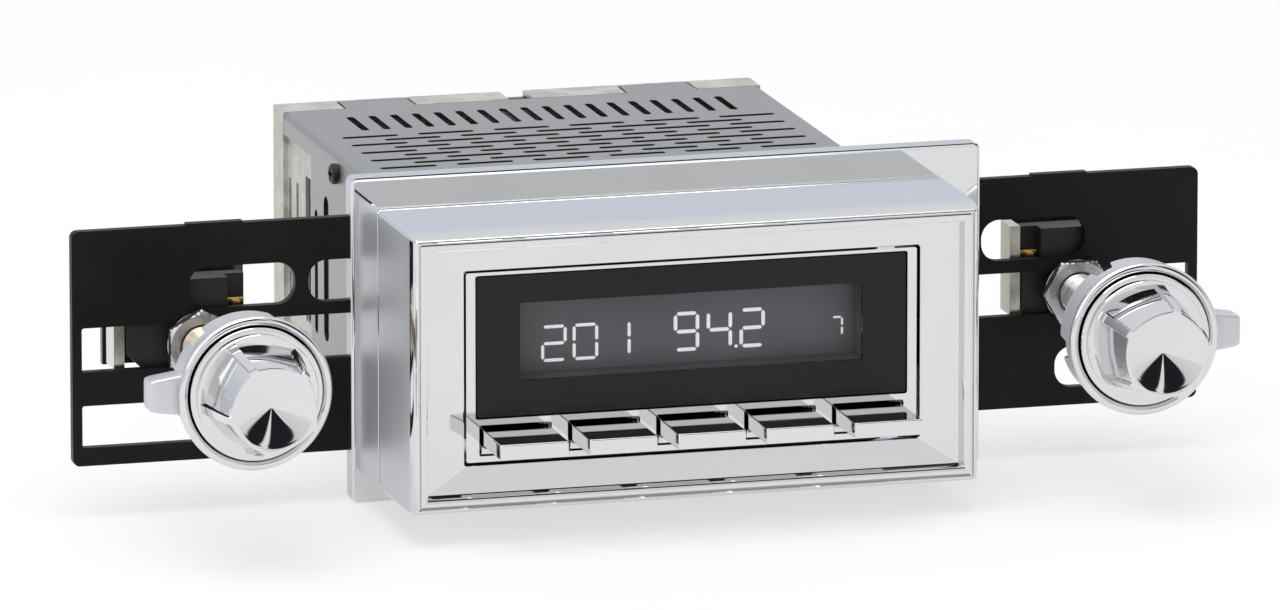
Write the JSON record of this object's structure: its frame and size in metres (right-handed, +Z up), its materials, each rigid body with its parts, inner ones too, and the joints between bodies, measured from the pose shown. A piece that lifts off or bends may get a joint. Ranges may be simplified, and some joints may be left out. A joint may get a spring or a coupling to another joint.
{
  "type": "car radio",
  "caption": "Classic shaft-mounted car radio: chrome trim collar, dark display, piano keys, dual knobs on slotted side plates, vented steel body.",
  "frame": {"origin": "centre of the outer box, at the height of the trim flange's lower edge", "axes": "+X to the right of someone facing the front, +Y to the rear of the chassis, +Z up"},
  "size_m": [0.2278, 0.165, 0.0645],
  "materials": {
    "chrome": "polished",
    "galvanised_steel": "dull zinc spangle",
    "cover_steel": "satin grey",
    "black_plate": "satin black",
    "black_plastic": "matte",
    "lens": "gloss",
    "display_glass": "satin",
    "light_guide": "satin",
    "circuit_board": "satin",
    "rubber": "matte",
    "zinc": "satin",
    "steel": "ground",
    "nickel": "bright",
    "gold": "bright",
    "aluminium": "satin",
    "brass": "dull"
  },
  "bodies": {
    "chassis": {"rear_trim": "chrome", "front_trim": "chrome", "faceplate": "chrome", "nose_housing": "black_plastic", "display_lens": "lens", "display_mask": "black_plastic", "display_glass": "display_glass", "light_guide": "light_guide", "display_board": "circuit_board", "key_mat": "rubber", "front_bulkhead": "galvanised_steel", "chassis_tray": "galvanised_steel", "top_cover": "cover_steel", "main_board": "circuit_board", "tuner_can": "zinc", "heat_sink": "aluminium", "power_socket": "black_plastic", "aerial_socket": "nickel", "left_mounting_plate": "black_plate", "left_plate_screw_1": "zinc", "left_plate_screw_2": "zinc", "left_cover_screw": "black_plastic", "right_mounting_plate": "black_plate", "right_plate_screw_1": "zinc", "right_plate_screw_2": "zinc", "right_cover_screw": "black_plastic"},
    "key_1": {"key_1": "chrome"},
    "key_2": {"key_2": "chrome"},
    "key_3": {"key_3": "chrome"},
    "key_4": {"key_4": "chrome"},
    "key_5": {"key_5": "chrome"},
    "left_controller": {"left_controller_housing": "black_plastic", "left_controller_board": "circuit_board", "left_bracket": "nickel", "left_connector": "gold", "left_bushing": "brass", "left_washer": "zinc", "left_hex_nut": "zinc"},
    "left_ring": {"left_outer_shaft": "steel", "left_rear_knob": "chrome"},
    "left_push": {"left_push_plunger": "black_plastic"},
    "left_knob": {"left_inner_shaft": "steel", "left_front_knob": "chrome"},
    "right_controller": {"right_controller_housing": "black_plastic", "right_controller_board": "circuit_board", "right_bracket": "nickel", "right_connector": "gold", "right_bushing": "brass", "right_washer": "zinc", "right_hex_nut": "zinc"},
    "right_ring": {"right_outer_shaft": "steel", "right_rear_knob": "chrome"},
    "right_push": {"right_push_plunger": "black_plastic"},
    "right_knob": {"right_inner_shaft": "steel", "right_front_knob": "chrome"}
  },
  "joints": [
    {"name": "key_1_press", "type": "slide", "parent": "chassis", "child": "key_1", "axis": [0, 1, 0], "range_m": [0, 0.0015], "stiffness_N_per_m": 800, "springref_m": -0.0015},
    {"name": "key_2_press", "type": "slide", "parent": "chassis", "child": "key_2", "axis": [0, 1, 0], "range_m": [0, 0.0015], "stiffness_N_per_m": 800, "springref_m": -0.0015},
    {"name": "key_3_press", "type": "slide", "parent": "chassis", "child": "key_3", "axis": [0, 1, 0], "range_m": [0, 0.0015], "stiffness_N_per_m": 800, "springref_m": -0.0015},
    {"name": "key_4_press", "type": "slide", "parent": "chassis", "child": "key_4", "axis": [0, 1, 0], "range_m": [0, 0.0015], "stiffness_N_per_m": 800, "springref_m": -0.0015},
    {"name": "key_5_press", "type": "slide", "parent": "chassis", "child": "key_5", "axis": [0, 1, 0], "range_m": [0, 0.0015], "stiffness_N_per_m": 800, "springref_m": -0.0015},
    {"name": "left_slot_adjust", "type": "slide", "parent": "chassis", "child": "left_controller", "axis": [-1, 0, 0], "range_m": [-0.0066, 0.0186]},
    {"name": "left_ring_turn", "type": "hinge", "parent": "left_controller", "child": "left_ring", "pos_m": [-0.08875, -0.0235, 0.03345], "axis": [0, 1, 0], "range_deg": [-135, 135]},
    {"name": "left_knob_push", "type": "slide", "parent": "left_controller", "child": "left_push", "axis": [0, 1, 0], "range_m": [0, 0.0005], "stiffness_N_per_m": 3000, "springref_m": -0.0005},
    {"name": "left_knob_turn", "type": "hinge", "parent": "left_push", "child": "left_knob", "pos_m": [-0.08875, -0.0235, 0.03345], "axis": [0, 1, 0], "continuous": true},
    {"name": "right_slot_adjust", "type": "slide", "parent": "chassis", "child": "right_controller", "axis": [1, 0, 0], "range_m": [-0.0066, 0.0186]},
    {"name": "right_ring_turn", "type": "hinge", "parent": "right_controller", "child": "right_ring", "pos_m": [0.08875, -0.0235, 0.03345], "axis": [0, 1, 0], "range_deg": [-135, 135]},
    {"name": "right_knob_push", "type": "slide", "parent": "right_controller", "child": "right_push", "axis": [0, 1, 0], "range_m": [0, 0.0005], "stiffness_N_per_m": 3000, "springref_m": -0.0005},
    {"name": "right_knob_turn", "type": "hinge", "parent": "right_push", "child": "right_knob", "pos_m": [0.08875, -0.0235, 0.03345], "axis": [0, 1, 0], "continuous": true}
  ]
}
